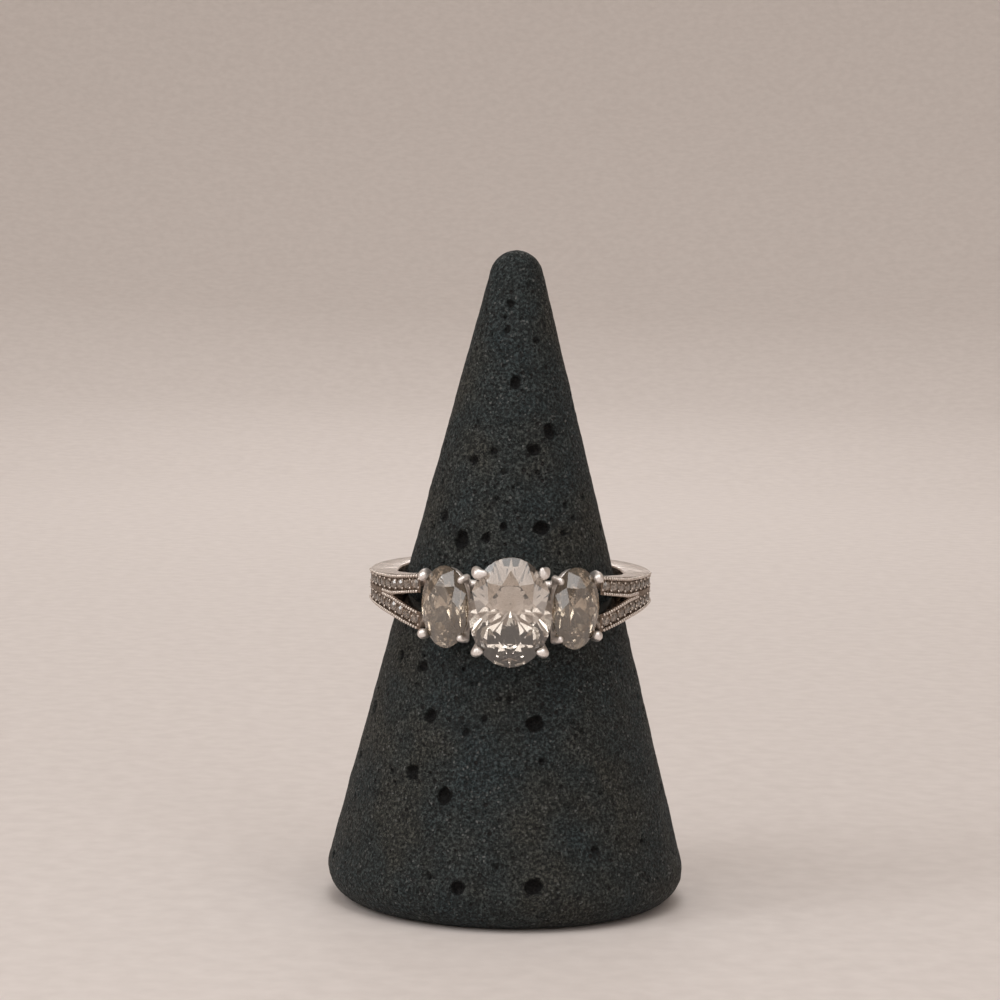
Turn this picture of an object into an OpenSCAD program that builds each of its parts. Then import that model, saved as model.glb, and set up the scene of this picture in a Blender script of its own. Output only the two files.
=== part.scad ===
// Three stone ring on a cone stand.
// The origin is the centre of the stand's foot, +Z goes up and -Y is the front, where the stones face.
// Angles round the ring start at its front and grow towards +X.

/* [Stand] */
// Widest radius of the stand, at its foot
stand_r = 13.4; // [12:0.1:16]
// Height of the stand
stand_h = 48.9; // [42:0.1:60]
// Radius of the ball that rounds the tip
tip_r = 2; // [1:0.1:3]
// Radius of the rounded edge round the foot
foot_round = 2.45; // [1:0.05:4]
// Radius of the largest pores in the stand
pore_r = 0.66; // [0.3:0.01:0.9]

/* [Shank] */
// Radius of the finger hole
bore_r = 8.4; // [7.5:0.1:9.6]
// Thickness of the shank at its sides
shank_t = 2.13; // [1.7:0.01:2.6]
// Thickness of the shank at its back
back_t = 1.7; // [1.3:0.01:2.4]
// Height of the shank at its sides, where two rows of small stones end
side_h = 2.24; // [2.2:0.01:3]
// Height of the shank at its back
back_h = 1.7; // [1.5:0.01:3]
// Bevel on the inner edges of the shank
inner_edge = 0.15; // [0.05:0.01:0.3]
// Bevel on the outer edges at the back, where the shank is rounded
back_edge = 0.45; // [0.1:0.01:0.6]

/* [Shoulders] */
// Height over both arms of a shoulder where they meet the side stone
head_h = 4.2; // [3.8:0.05:5]
// Gap between the two arms where they meet the side stone
split_w = 1.46; // [1:0.02:1.6]
// Angle along which the arms stay apart
split_angle = 21.5; // [15:0.5:26]
// Angle from the front at which the rows of small stones end
row_end = 94; // [85:1:110]
// How far the outside of a shoulder lies within the round of the sides
shoulder_flat = 0.42; // [0:0.01:0.6]
// How far the inside of a shoulder draws away from the finger at the head
arm_hollow = 0.5; // [0.4:0.01:0.7]
// Depth of the channel that each row of small stones lies in
channel_depth = 0.12; // [0.06:0.01:0.2]

/* [Centre stone] */
// Width of the centre stone
centre_w = 6; // [5:0.1:7]
// Length of the centre stone
centre_l = 8; // [7:0.1:9]
// Distance from the finger hole's wall to the centre stone's girdle
centre_lift = 3.5; // [3.3:0.05:4.5]

/* [Side stones] */
// Width of a side stone
side_w = 4; // [3.6:0.1:4.6]
// Length of a side stone
side_l = 6; // [5.4:0.1:7]
// Angle by which a side stone turns away from the front
side_turn = 33; // [28:0.5:38]
// Gap between the centre stone and a side stone, seen from the front
stones_apart = 0.04; // [0:0.01:0.4]
// How far a side stone's inner edge lies behind the centre stone's girdle
side_step = 1; // [0.8:0.05:1.5]

/* [Cut of the stones] */
// Width of the table as a share of the stone's width
table_share = 0.57; // [0.5:0.01:0.65]
// Height of the crown as a share of the stone's width
crown_share = 0.15; // [0.12:0.01:0.18]
// Depth of the pavilion as a share of the stone's width
pavilion_share = 0.46; // [0.4:0.01:0.48]
// Thickness of the girdle of the centre and side stones
girdle_t = 0.2; // [0.1:0.01:0.3]

/* [Small stones] */
// Diameter of the small stones in the shoulders
small_d = 0.8; // [0.7:0.01:0.85]
// Distance between neighbouring small stones
small_apart = 0.16; // [0.12:0.01:0.3]
// Thickness of the girdle of the small stones
small_girdle = 0.05; // [0.03:0.01:0.08]

/* [Prongs] */
// Thickness of the prongs
prong_d = 0.66; // [0.5:0.01:0.8]
// Thickness of the prongs between the centre stone and the side stones
inner_prong_d = 0.54; // [0.48:0.01:0.7]
// Diameter of the rounded prong ends on the centre stone
bead_d = 0.96; // [0.7:0.01:1.04]
// Diameter of the prong ends between the centre stone and the side stones
inner_bead_d = 0.6; // [0.56:0.01:0.9]
// Diameter of the prong ends where the arms meet the side stones
outer_bead_d = 0.82; // [0.7:0.01:1.1]
// Thickness of the two wires that carry the prongs, measured outwards from the finger
wire_t = 0.8; // [0.6:0.01:1]
// Height of each of these wires
wire_h = 0.9; // [0.7:0.01:1.1]
// Height of the oval rail under each stone
rail_t = 0.45; // [0.35:0.01:0.6]
// Width of the oval rail under each stone
rail_w = 0.6; // [0.4:0.01:0.8]
// How far the oval rail lies within the stone's outline
rail_inset = 0.2; // [0.1:0.01:0.3]
// Depth of the oval rail as a share of the pavilion
rail_depth = 0.3; // [0.2:0.01:0.4]

/* [Fit] */
// Clearance between each stone and its setting
stone_gap = 0.04; // [0.03:0.01:0.06]
// Clearance between the finger hole and the stand
seat_gap = 0.1; // [0.06:0.01:0.2]
// Angle by which the front of the ring hangs lower than its back
tilt = 2.5; // [0:0.1:4]
// Angle by which the left side of the ring hangs lower than its right side
lean = 0.3; // [0:0.1:1.5]

/* [Hidden] */

// Side of the stand: a straight line that touches the foot's edge and the ball of the tip
foot_centre = [stand_r - foot_round, foot_round];
tip_centre = [0, stand_h - tip_r];
side_slant = atan2(foot_centre.x, tip_centre.y - foot_centre.y)
    + asin((foot_round - tip_r) / norm(tip_centre - foot_centre));
side_low = foot_centre + foot_round * [cos(side_slant), sin(side_slant)];
// Angle between the points of its rounded edges
arc_step = 10;
function side_r(z) = side_low.x - (z - side_low.y) * tan(side_slant);
function side_z(r) = side_low.y + (side_low.x - r) / tan(side_slant);

// Place of the ring: its hole clears the stand by the same distance all round
ring_z = side_z(bore_r - seat_gap) + side_h / 2;
ring_shift = bore_r * tan(side_slant);
ring_place = [-ring_shift * sin(lean), -ring_shift * sin(tilt), ring_z];

// Larger pores: height as a share of stand_h, angle round the stand, radius as a share of pore_r
PORE_HEIGHT = 0;
PORE_ANGLE = 1;
PORE_SIZE = 2;
pores = [
    [0.567, -32, 1.0], [0.304, 11, 1.0], [0.072, 9, 1.0], [0.196, -23, 0.95],
    [0.730, 33, 0.9], [0.224, -38, 0.9], [0.588, 19, 0.9], [0.308, -34, 0.8],
    [0.067, -15, 0.8], [0.803, 1, 0.75], [0.703, 17, 0.75], [0.386, -60, 0.7],
    [0.599, -50, 0.7], [0.377, -43, 0.7], [0.685, -32, 0.6], [0.572, -16, 0.6],
    [0.130, 100, 0.9], [0.330, 130, 1.0], [0.520, 160, 0.9], [0.220, 190, 1.0],
    [0.640, 215, 0.8], [0.380, 240, 1.0], [0.120, 265, 0.9], [0.300, 285, 0.8],
];

// Stones' girdles, as width, length and thickness, and their places round the finger
side_shift = centre_w / 2 + stones_apart + side_w / 2 * cos(side_turn);
side_front = bore_r + centre_lift - side_step - side_w / 2 * sin(side_turn);
centre_at = [0, -bore_r - centre_lift];
side_at = [side_shift, -side_front];
centre_size = [centre_w, centre_l, girdle_t];
side_size = [side_w, side_l, girdle_t];
small_size = [small_d, small_d, small_girdle];

// Angles at which the shoulders start beside the stones, split and end
arm_margin = 2.2;
row_margin = 1.5;
wire_margin = 3;
head_angle = arm_margin
    + atan2(side_shift + side_w / 2 * cos(side_turn), side_front - side_w / 2 * sin(side_turn));
split_end = head_angle + split_angle;
row_start = head_angle + row_margin;

// Largest angle between two sections of the shank, and the bevel on its outer edges at the sides
section_step = 4;
shank_edge = 0.1;

// How far a cut runs past the metal, and the width that it keeps where it narrows to nothing
past = 1;
slit = 0.002;

// Share of a shoulder's growth in height that is even all along it; the rest comes near the head
even_growth = 0.55;

// Share of the way from the side of the ring, at 90 degrees, to the head or to the back
function to_head(a) = max(0, (90 - a) / (90 - head_angle));
function to_back(a) = (1 - cos(2 * max(0, a - 90))) / 2;
function outer_r(a) = bore_r + shank_t - shoulder_flat * sin(180 * to_head(a))
    + (back_t - shank_t) * to_back(a);
function inner_r(a) = bore_r + arm_hollow * to_head(a);
function growth(a) = even_growth * to_head(a) + (1 - even_growth) * pow(to_head(a), 2);
function half_h(a) = side_h / 2 + (head_h - side_h) / 2 * growth(a) + (back_h - side_h) / 2 * to_back(a);
function half_split(a) = split_w / 2 * max(0, split_end - a) / split_angle;
function row_z(a) = (half_h(a) + half_split(a)) / 2;
function outer_edge(a) = shank_edge + (back_edge - shank_edge) * to_back(a);

// A point of the ring from its angle, its distance from the axis and its height
function round_point(a, r, z) = [r * sin(a), -r * cos(a), z];
// A point of the ring from a place on a stone, measured from the girdle's centre
function stone_point(at, turn, p) =
    [at.x + p.x * cos(turn) + p.z * sin(turn), at.y + p.x * sin(turn) - p.z * cos(turn), p.y];

// A closed solid through rings of points that all have the same count and turn the same way
module loft(rings) {
    n = len(rings[0]);
    last = len(rings) - 1;
    polyhedron(
        points = [for (ring = rings) each ring],
        faces = concat(
            [[for (i = [0:n - 1]) i]],
            [for (k = [0:n:(last - 1) * n], i = [0:n - 1]) [k + i, k + n + i, k + n + (i + 1) % n]],
            [for (k = [0:n:(last - 1) * n], i = [0:n - 1]) [k + i, k + n + (i + 1) % n, k + (i + 1) % n]],
            [[for (i = [n - 1:-1:0]) last * n + i]]),
        convexity = 6);
}

// Angles from one to another in equal steps of about section_step
function steps(from, to) = [for (i = [0:ceil((to - from) / section_step)])
    from + i * (to - from) / ceil((to - from) / section_step)];

// An angle past the back counts from the other side of the ring
function folded(a) = a > 180 ? 360 - a : a;

function shank_section(a) =
    let (f = folded(a), i = inner_r(f), o = outer_r(f), h = half_h(f), e = outer_edge(f))
    [for (p = [[i, inner_edge - h], [i, h - inner_edge], [i + inner_edge, h], [o - e, h],
               [o, h - e], [o, e - h], [o - e, -h], [i + inner_edge, -h]]) round_point(a, p.x, p.y)];

function box_section(a, r1, r2, z1, z2) =
    [for (p = [[r1, z1], [r1, z2], [r2, z2], [r2, z1]]) round_point(a, p.x, p.y)];

// Brilliant cut, in shares of the girdle's half width and half length: eight mains, eight stars and sixteen
// halves, round a girdle of four points for each main. The first main lies half a step off the width, so
// the table has straight sides at the middle of each side and each end.
STAR_R = 0.79;
LOWER_R = 0.24;
MAINS = 8;
MAIN_STEP = 360 / MAINS;
FIRST_MAIN = MAIN_STEP / 2;
FIRST_STAR = FIRST_MAIN + MAIN_STEP / 2;
GIRDLE_STEP = MAIN_STEP / 4;
function ring_of(n, start, r) = [for (i = [0:n - 1]) let (a = start + i * 360 / n) [r * cos(a), r * sin(a)]];
// Rise of a crown main over the girdle and drop of a pavilion main under it, at a radius and an angle off
// its middle
function crown_rise(r, off) = (1 - r * cos(off)) / (1 - table_share);
function pavilion_drop(r, off) = 1 - r * cos(off);
// How far a half facet passes the girdle's level halfway along its edge, from its other corner's height
// and radius
function half_bulge(h, r) = h * (1 - cos(GIRDLE_STEP)) / ((1 - r) * cos(GIRDLE_STEP));

// The cut stone, face up, with grow added all round to make its seat
module brilliant(size, grow) {
    half = [size.x / 2 + grow, size.y / 2 + grow];
    crown = crown_share * size.x;
    pavilion = pavilion_share * size.x;
    up = size.z / 2 + grow;
    star_z = crown * crown_rise(STAR_R, MAIN_STEP / 2);
    deep_z = pavilion * pavilion_drop(LOWER_R, MAIN_STEP / 2);
    function at_z(ring, z, odd_z) = [for (i = [0:len(ring) - 1])
        [ring[i].x * half.x, ring[i].y * half.y, i % 2 == 0 ? z : odd_z]];
    points = concat(
        at_z(ring_of(MAINS, FIRST_MAIN, table_share), up + crown, up + crown),
        at_z(ring_of(MAINS, FIRST_STAR, STAR_R), up + star_z, up + star_z),
        at_z(ring_of(4 * MAINS, FIRST_MAIN, 1), up, up - half_bulge(star_z, STAR_R)),
        at_z(ring_of(4 * MAINS, FIRST_MAIN, 1), -up, half_bulge(deep_z, LOWER_R) - up),
        at_z(ring_of(MAINS, FIRST_STAR, LOWER_R), -up - deep_z, -up - deep_z),
        [[0, 0, -up - pavilion]]);
    star = MAINS;
    top = 2 * MAINS;
    low = 6 * MAINS;
    deep = 10 * MAINS;
    culet = 11 * MAINS;
    round_n = 4 * MAINS;
    polyhedron(points = points, convexity = 4, faces = concat(
        [[for (i = [MAINS - 1:-1:0]) i]],
        [for (i = [0:MAINS - 1]) [i, (i + 1) % MAINS, star + i]],
        [for (i = [0:MAINS - 1]) [i, star + i, top + 4 * i]],
        [for (i = [0:MAINS - 1]) [i, top + 4 * i, star + (i + MAINS - 1) % MAINS]],
        [for (i = [0:MAINS - 1], k = [0:3]) [star + i, top + (4 * i + k + 1) % round_n, top + 4 * i + k]],
        [for (i = [0:round_n - 1]) [top + i, top + (i + 1) % round_n, low + (i + 1) % round_n]],
        [for (i = [0:round_n - 1]) [top + i, low + (i + 1) % round_n, low + i]],
        [for (i = [0:MAINS - 1], k = [0:3]) [low + 4 * i + k, low + (4 * i + k + 1) % round_n, deep + i]],
        [for (i = [0:MAINS - 1]) [low + 4 * i, deep + i, culet]],
        [for (i = [0:MAINS - 1]) [low + 4 * i, culet, deep + (i + MAINS - 1) % MAINS]]));
}

// Single cut for the small stones: a table, eight crown and eight pavilion facets
module single_cut(size, grow) {
    half = size.x / 2 + grow;
    up = size.z / 2 + grow;
    function at_z(r, z) = [for (p = ring_of(MAINS, MAIN_STEP / 2, r)) [p.x, p.y, z]];
    points = concat(
        at_z(table_share * half, up + crown_share * size.x),
        at_z(half, up),
        at_z(half, -up),
        [[0, 0, -up - pavilion_share * size.x]]);
    low = 2 * MAINS;
    culet = 3 * MAINS;
    polyhedron(points = points, convexity = 4, faces = concat(
        [[for (i = [MAINS - 1:-1:0]) i]],
        [for (k = [0, MAINS], i = [0:MAINS - 1]) [k + i, k + (i + 1) % MAINS, k + MAINS + (i + 1) % MAINS]],
        [for (k = [0, MAINS], i = [0:MAINS - 1]) [k + i, k + MAINS + (i + 1) % MAINS, k + MAINS + i]],
        [for (i = [0:MAINS - 1]) [low + i, low + (i + 1) % MAINS, culet]]));
}

// Puts what is drawn face up at a stone's place round the finger
module at_stone(at, turn) {
    translate([at.x, at.y, 0]) rotate([90, 0, turn]) children();
}

module main_stones(grow) {
    at_stone(centre_at, 0) brilliant(centre_size, grow);
    for (side = [-1, 1])
        at_stone([side * side_at.x, side_at.y], side * side_turn) brilliant(side_size, grow);
}

// Both rows of small stones on one shoulder, side 1 for +X and -1 for -X
row_pitch = (small_d + small_apart) / (bore_r + shank_t - shoulder_flat - channel_depth) * 180 / PI;
row_first = row_start + row_pitch / 2;
row_count = floor((row_end - row_start) / row_pitch);
module small_stones(side, grow) {
    for (i = [0:row_count - 1], row = [-1, 1]) {
        a = row_first + i * row_pitch;
        r = outer_r(a) - channel_depth;
        translate(round_point(side * a, r, row * row_z(a))) rotate([90, 0, side * a])
            single_cut(small_size, grow);
    }
}

// Moves the ring from its own centre to its seat on the stand
module on_stand() {
    translate(ring_place) rotate([tilt, -lean, 0]) children();
}

module shank() {
    loft([for (a = steps(head_angle, 360 - head_angle)) shank_section(a)]);
}

// The opening between the arms of one shoulder, which narrows to nothing away from the head
module split(side) {
    mirror([side < 0 ? 1 : 0, 0, 0])
        loft([for (a = steps(head_angle - past, split_end)) let (half = half_split(a) + slit / 2)
            box_section(a, bore_r - past, bore_r + shank_t + past, -half, half)]);
}

// The channel of one row of small stones, open at the outside
channel_half = small_d / 2 + stone_gap;
module channel(side, row) {
    mirror([side < 0 ? 1 : 0, 0, 0])
        loft([for (a = steps(row_start, row_end))
            box_section(a, outer_r(a) - channel_depth, bore_r + shank_t + past,
                row * row_z(a) - channel_half, row * row_z(a) + channel_half)]);
}

// The two wires that run from arm to arm behind the stones
wire_z = (half_h(head_angle) + half_split(head_angle)) / 2;
wire_r = inner_r(head_angle);
wire_reach = head_angle + wire_margin;
module wires() {
    for (s = [-1, 1])
        loft([for (a = steps(-wire_reach, wire_reach))
            box_section(a, wire_r, wire_r + wire_t, s * wire_z - wire_h / 2, s * wire_z + wire_h / 2)]);
}

// An oval rail that the pavilion of a stone rests in
module rail(size) {
    drop = size.z / 2 + pavilion_share * size.x * rail_depth;
    translate([0, 0, -drop - rail_t / 2]) linear_extrude(rail_t) difference() {
        resize([size.x - 2 * rail_inset, size.y - 2 * rail_inset]) circle(1, $fn = 32);
        resize([size.x - 2 * (rail_inset + rail_w), size.y - 2 * (rail_inset + rail_w)]) circle(1, $fn = 32);
    }
}

// A prong from a wire up the side of a stone, with a rounded end that laps over the crown
module prong(base, knee, tip, d, end_d) {
    hull() {
        translate(base) sphere(d = d, $fn = 10);
        translate(knee) sphere(d = d, $fn = 10);
    }
    hull() {
        translate(knee) sphere(d = d, $fn = 10);
        translate(tip) sphere(d = end_d, $fn = 14);
    }
}

// Prongs stand at these shares of a stone's half width and half length
CENTRE_CORNER = [0.79, 0.71];
INNER_CORNER = [0.76, 0.71];
OUTER_CORNER = [0.87, 0.71];
// A prong's knee stands out of the stone's outline and its end a little within it
knee_out = 0.2;
tip_in = 0.02;
function corner(size, share, s, t, out) =
    [s * (size.x / 2 * share.x + out * share.y), t * (size.y / 2 * share.y + out * share.x)];

// Two prongs on one side of a stone, from the angle round the finger at which they leave the wires
module prong_pair(at, turn, size, share, s, base_angle, d, end_d) {
    for (t = [-1, 1]) {
        knee = corner(size, share, s, t, knee_out);
        tip = corner(size, share, s, t, -tip_in);
        prong(round_point(base_angle, wire_r + wire_t / 2, t * wire_z),
            stone_point(at, turn, [knee.x, knee.y, -size.z]),
            stone_point(at, turn, [tip.x, tip.y, size.z / 2 + end_d * bead_rise]),
            d, end_d);
    }
}

// Height of a prong end's middle over the girdle as a share of its diameter
bead_rise = 0.28;
// Angles round the finger at which the prongs leave the wires
centre_base = 9;
inner_base = 20;
outer_base = 35;
module heads() {
    wires();
    at_stone(centre_at, 0) rail(centre_size);
    for (side = [-1, 1]) {
        prong_pair(centre_at, 0, centre_size, CENTRE_CORNER, side, side * centre_base, prong_d, bead_d);
        mirror([side < 0 ? 1 : 0, 0, 0]) {
            at_stone(side_at, side_turn) rail(side_size);
            prong_pair(side_at, side_turn, side_size, INNER_CORNER, -1, inner_base,
                inner_prong_d, inner_bead_d);
            prong_pair(side_at, side_turn, side_size, OUTER_CORNER, 1, outer_base,
                prong_d, outer_bead_d);
        }
    }
}

module stand_cone() {
    color("#2f3536") difference() {
        rotate_extrude($fn = 96) polygon(concat(
            [[0, 0], [foot_centre.x, 0]],
            [for (a = [-90 + arc_step:arc_step:0]) foot_centre + foot_round * [cos(a), sin(a)]],
            [side_low],
            [for (a = [side_slant:arc_step:90]) tip_centre + tip_r * [cos(a), sin(a)]],
            [[0, stand_h]]));
        for (p = pores) {
            z = p[PORE_HEIGHT] * stand_h;
            rotate([0, 0, p[PORE_ANGLE]]) translate([0, -side_r(z), z])
                sphere(pore_r * p[PORE_SIZE], $fn = 16);
        }
    }
}

module ring_mount() {
    color("#d8d8d6") on_stand() render() difference() {
        union() {
            difference() {
                shank();
                for (side = [-1, 1]) split(side);
            }
            heads();
        }
        for (side = [-1, 1], row = [-1, 1]) channel(side, row);
        for (side = [-1, 1]) small_stones(side, stone_gap);
        main_stones(stone_gap);
    }
}

module center_stone() {
    color("#e9e4da") on_stand() at_stone(centre_at, 0) brilliant(centre_size, 0);
}

module side_stone_left() {
    color("#b9b0a4") on_stand() at_stone([-side_at.x, side_at.y], -side_turn) brilliant(side_size, 0);
}

module side_stone_right() {
    color("#b9b0a4") on_stand() at_stone(side_at, side_turn) brilliant(side_size, 0);
}

module shoulder_stones_left() {
    color("#cfc8c0") on_stand() small_stones(-1, 0);
}

module shoulder_stones_right() {
    color("#cfc8c0") on_stand() small_stones(1, 0);
}

stand_cone();
ring_mount();
center_stone();
side_stone_left();
side_stone_right();
shoulder_stones_left();
shoulder_stones_right();
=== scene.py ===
# %% [markdown]
# # A three stone ring on its cone stand
# The CAD solids come in as a fixed frame: a cone, the ring's metal, three oval stones and the small stones of
# the shoulders. This lesson gives them the looks of the real things. The cone becomes cast stone full of
# pores, and the metal is modelled again with soft edges, beaded rims and rounded claws.

# %% Load the frame
import math
import random

import bmesh
import bpy
from mathutils import Matrix, Vector, noise
from mathutils.kdtree import KDTree


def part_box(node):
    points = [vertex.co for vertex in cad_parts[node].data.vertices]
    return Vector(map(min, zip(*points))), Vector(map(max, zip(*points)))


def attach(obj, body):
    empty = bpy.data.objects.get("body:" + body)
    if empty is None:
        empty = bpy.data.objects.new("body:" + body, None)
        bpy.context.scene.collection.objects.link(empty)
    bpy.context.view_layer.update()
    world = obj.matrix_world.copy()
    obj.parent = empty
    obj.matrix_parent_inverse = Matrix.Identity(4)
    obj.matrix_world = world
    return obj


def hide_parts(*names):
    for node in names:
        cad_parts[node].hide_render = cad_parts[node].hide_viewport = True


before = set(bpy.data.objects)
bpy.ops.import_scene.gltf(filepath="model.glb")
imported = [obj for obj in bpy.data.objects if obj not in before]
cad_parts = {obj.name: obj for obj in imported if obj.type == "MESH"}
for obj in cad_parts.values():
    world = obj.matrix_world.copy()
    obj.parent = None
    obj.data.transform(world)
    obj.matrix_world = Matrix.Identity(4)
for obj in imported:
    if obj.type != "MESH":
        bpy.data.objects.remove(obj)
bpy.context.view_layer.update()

print("nodes:", ", ".join(sorted(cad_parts)))

# %% [markdown]
# ## Units
# A ring is a few millimetres thick, and tools that merge or remesh points work best on numbers near one. So
# each piece is modelled in millimetres, and one matrix turns it into metres at the end. Points nearer to each
# other than MERGE become one.

# %% Units
MM = 0.001
TO_METRES = Matrix.Scale(MM, 4)
MERGE = 1e-4

# %% [markdown]
# ## Camera
# The photograph looks slightly down at the ring from the front, through a long lens, and leans by about one
# degree. The lens follows from its length in pixels, because a sensor as wide as the picture has the same
# shape of view.

# %% Camera
PICTURE = 1000
LENS_PIXELS = 3200
CAMERA_AT = Vector((-0.91, -239.2, 53.3))
LOOK_DOWN = 5.53
ROLL = 1.11
NEAREST = 10


def turned(degrees, axis):
    return Matrix.Rotation(math.radians(degrees), 4, axis)


lens = bpy.data.cameras.new("photo_camera")
lens.lens = lens.sensor_width * LENS_PIXELS / PICTURE
lens.clip_start = NEAREST * MM
camera = bpy.data.objects.new("photo_camera", lens)
bpy.context.scene.collection.objects.link(camera)
camera.matrix_world = Matrix.Translation(CAMERA_AT * MM) @ turned(90 - LOOK_DOWN, "X") @ turned(ROLL, "Z")
bpy.context.scene.camera = camera
print("lens in mm:", round(lens.lens, 1))

# %% [markdown]
# ## From a bmesh to a piece
# All modelling happens in bmesh. Two helpers do the rest: one runs a modifier over a bmesh, for what only a
# modifier can do, and one writes the finished bmesh as a piece that rides on the frame.

# %% Helpers for meshes
def run_modifier(bm, kind, **settings):
    """Replaces what is in a bmesh by what the modifier makes of it"""
    mesh = bpy.data.meshes.new("draft")
    bm.to_mesh(mesh)
    draft = bpy.data.objects.new("draft", mesh)
    bpy.context.scene.collection.objects.link(draft)
    step = draft.modifiers.new("step", kind)
    for name, value in settings.items():
        setattr(step, name, value)
    bm.clear()
    bm.from_object(draft, bpy.context.evaluated_depsgraph_get())
    bpy.data.objects.remove(draft)
    bpy.data.meshes.remove(mesh)


def make_piece(name, bm, place, node, finishes, smooth_below=180):
    """Writes a bmesh as a piece that stands for a CAD node. Edges that bend by smooth_below degrees or more
    stay sharp"""
    bmesh.ops.transform(bm, matrix=place, verts=bm.verts)
    bm.normal_update()
    for face in bm.faces:
        face.smooth = True
    for edge in bm.edges:
        edge.smooth = edge.calc_face_angle(0) < math.radians(smooth_below)
    mesh = bpy.data.meshes.new(name)
    bm.to_mesh(mesh)
    bm.free()
    for finish in finishes:
        mesh.materials.append(finish)
    piece = bpy.data.objects.new(name, mesh)
    bpy.context.scene.collection.objects.link(piece)
    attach(piece, "root")
    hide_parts(node)
    mesh.calc_loop_triangles()
    print(name, len(mesh.loop_triangles), "triangles")
    return piece


# %% [markdown]
# ## Helpers for finishes
# Every finish is one Principled shader with patterns in front of it. Patterns read object coordinates, which
# a Mapping node turns into millimetres, so a scale of 5 means about five grains to the millimetre. A pattern
# that fills space needs no unwrapped surface and shows no seam.

# %% Helpers for finishes
def new_finish(name, **values):
    """A material and its shader, with values that are the same all over set on the shader's own sockets"""
    finish = bpy.data.materials.new(name)
    finish.use_nodes = True
    shader = finish.node_tree.nodes["Principled BSDF"]
    for socket, value in values.items():
        shader.inputs[socket.replace("_", " ")].default_value = value
    return finish, shader


def add_node(finish, kind, links=(), settings=(), **values):
    """A node with its values set and its inputs linked"""
    node = finish.node_tree.nodes.new(kind)
    for name, value in dict(settings).items():
        setattr(node, name, value)
    for name, value in values.items():
        node.inputs[name.replace("_", " ")].default_value = value
    for name, output in dict(links).items():
        finish.node_tree.links.new(output, node.inputs[name])
    return node


def connect(finish, shader, **links):
    for socket, output in links.items():
        finish.node_tree.links.new(output, shader.inputs[socket.replace("_", " ")])


# %% Helpers for patterns
def in_millimetres(finish, stretch=(1, 1, 1)):
    """Where a point of the piece is, in millimetres"""
    coordinates = add_node(finish, "ShaderNodeTexCoord")
    scale = Vector(stretch) / MM
    mapping = add_node(finish, "ShaderNodeMapping", {"Vector": coordinates.outputs["Object"]}, Scale=scale)
    return mapping.outputs["Vector"]


def clouds(finish, place, **values):
    """A noise pattern, from 0 to 1"""
    return add_node(finish, "ShaderNodeTexNoise", {"Vector": place}, **values).outputs["Fac"]


def cells(finish, place, scale):
    """A Voronoi pattern's outputs: Distance grows from a cell's middle, and Color is random for each cell"""
    return add_node(finish, "ShaderNodeTexVoronoi", {"Vector": place}, Scale=scale).outputs


def bump(finish, height, depth_mm, before=None):
    """Relief of a height in millimetres, on top of the relief before it"""
    links = {"Height": height}
    if before is not None:
        links["Normal"] = before
    return add_node(finish, "ShaderNodeBump", links, Distance=depth_mm * MM).outputs["Normal"]


# %% Helpers for colours
MIX_SHARE = 0
MIX_FIRST = 6
MIX_SECOND = 7
MIX_RESULT = 2


def grey(value):
    return (value, value, value)


def ramp(finish, value, *stops):
    """A colour ramp through (position, colour) stops"""
    node = add_node(finish, "ShaderNodeValToRGB", {"Fac": value})
    band = node.color_ramp
    while len(band.elements) < len(stops):
        band.elements.new(1)
    for element, (position, colour) in zip(band.elements, stops):
        element.position = position
        element.color = (*colour, 1)
    return node.outputs["Color"]


def mix_colours(finish, share, first, second, blend="MIX"):
    """A mix of two colours. A Mix node has sockets of one name for each kind of value, so those for colours
    are found by their numbers"""
    node = add_node(finish, "ShaderNodeMix", settings={"data_type": "RGBA", "blend_type": blend})
    for socket, value in ((MIX_SHARE, share), (MIX_FIRST, first), (MIX_SECOND, second)):
        if isinstance(value, (int, float)):
            node.inputs[socket].default_value = value
        elif isinstance(value, tuple):
            node.inputs[socket].default_value = (*value, 1)
        else:
            finish.node_tree.links.new(value, node.inputs[socket])
    return node.outputs[MIX_RESULT]


# %% [markdown]
# ## Cast stone
# The cone is a dark cast stone with a dull, sandy skin. Up close it is not one colour: pale grains of sand
# glint beside pinholes, and whole patches are a little warmer or cooler. The pinholes and bubbles are painted
# near black, as painted shade inside them, beside their relief. A picture of stone, wrapped round the cone,
# would crowd at its tip, so patterns make it: the cells of a Voronoi pattern serve for grains and pinholes,
# and layered noise for everything between them.

# %% Cast stone
cast_stone, shader = new_finish("cast_stone", Specular_IOR_Level=0.3)
place = in_millimetres(cast_stone)
patches = clouds(cast_stone, place, Scale=0.2, Detail=2)
sand = clouds(cast_stone, place, Scale=4.5, Detail=3, Roughness=0.75)
grain = cells(cast_stone, place, 7.0)["Color"]
pinholes = cells(cast_stone, place, 2.6)["Distance"]
bubbles = cells(cast_stone, place, 0.95)["Distance"]
# How deep a point sank into a pore, which paints the pores near black as painted shade
pore = add_node(cast_stone, "ShaderNodeAttribute", settings={"attribute_name": "pore_depth"}).outputs["Fac"]

base = ramp(
    cast_stone, sand,
    (0.38, (0.003, 0.004, 0.004)), (0.51, (0.017, 0.020, 0.020)), (0.64, (0.066, 0.072, 0.070)))
tone = ramp(
    cast_stone, patches,
    (0.35, (0.66, 0.84, 0.92)), (0.5, (0.80, 0.88, 0.88)), (0.65, (1.10, 1.02, 0.90)))
is_grain = ramp(cast_stone, grain, (0.86, grey(0)), (0.96, grey(1)))
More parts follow.
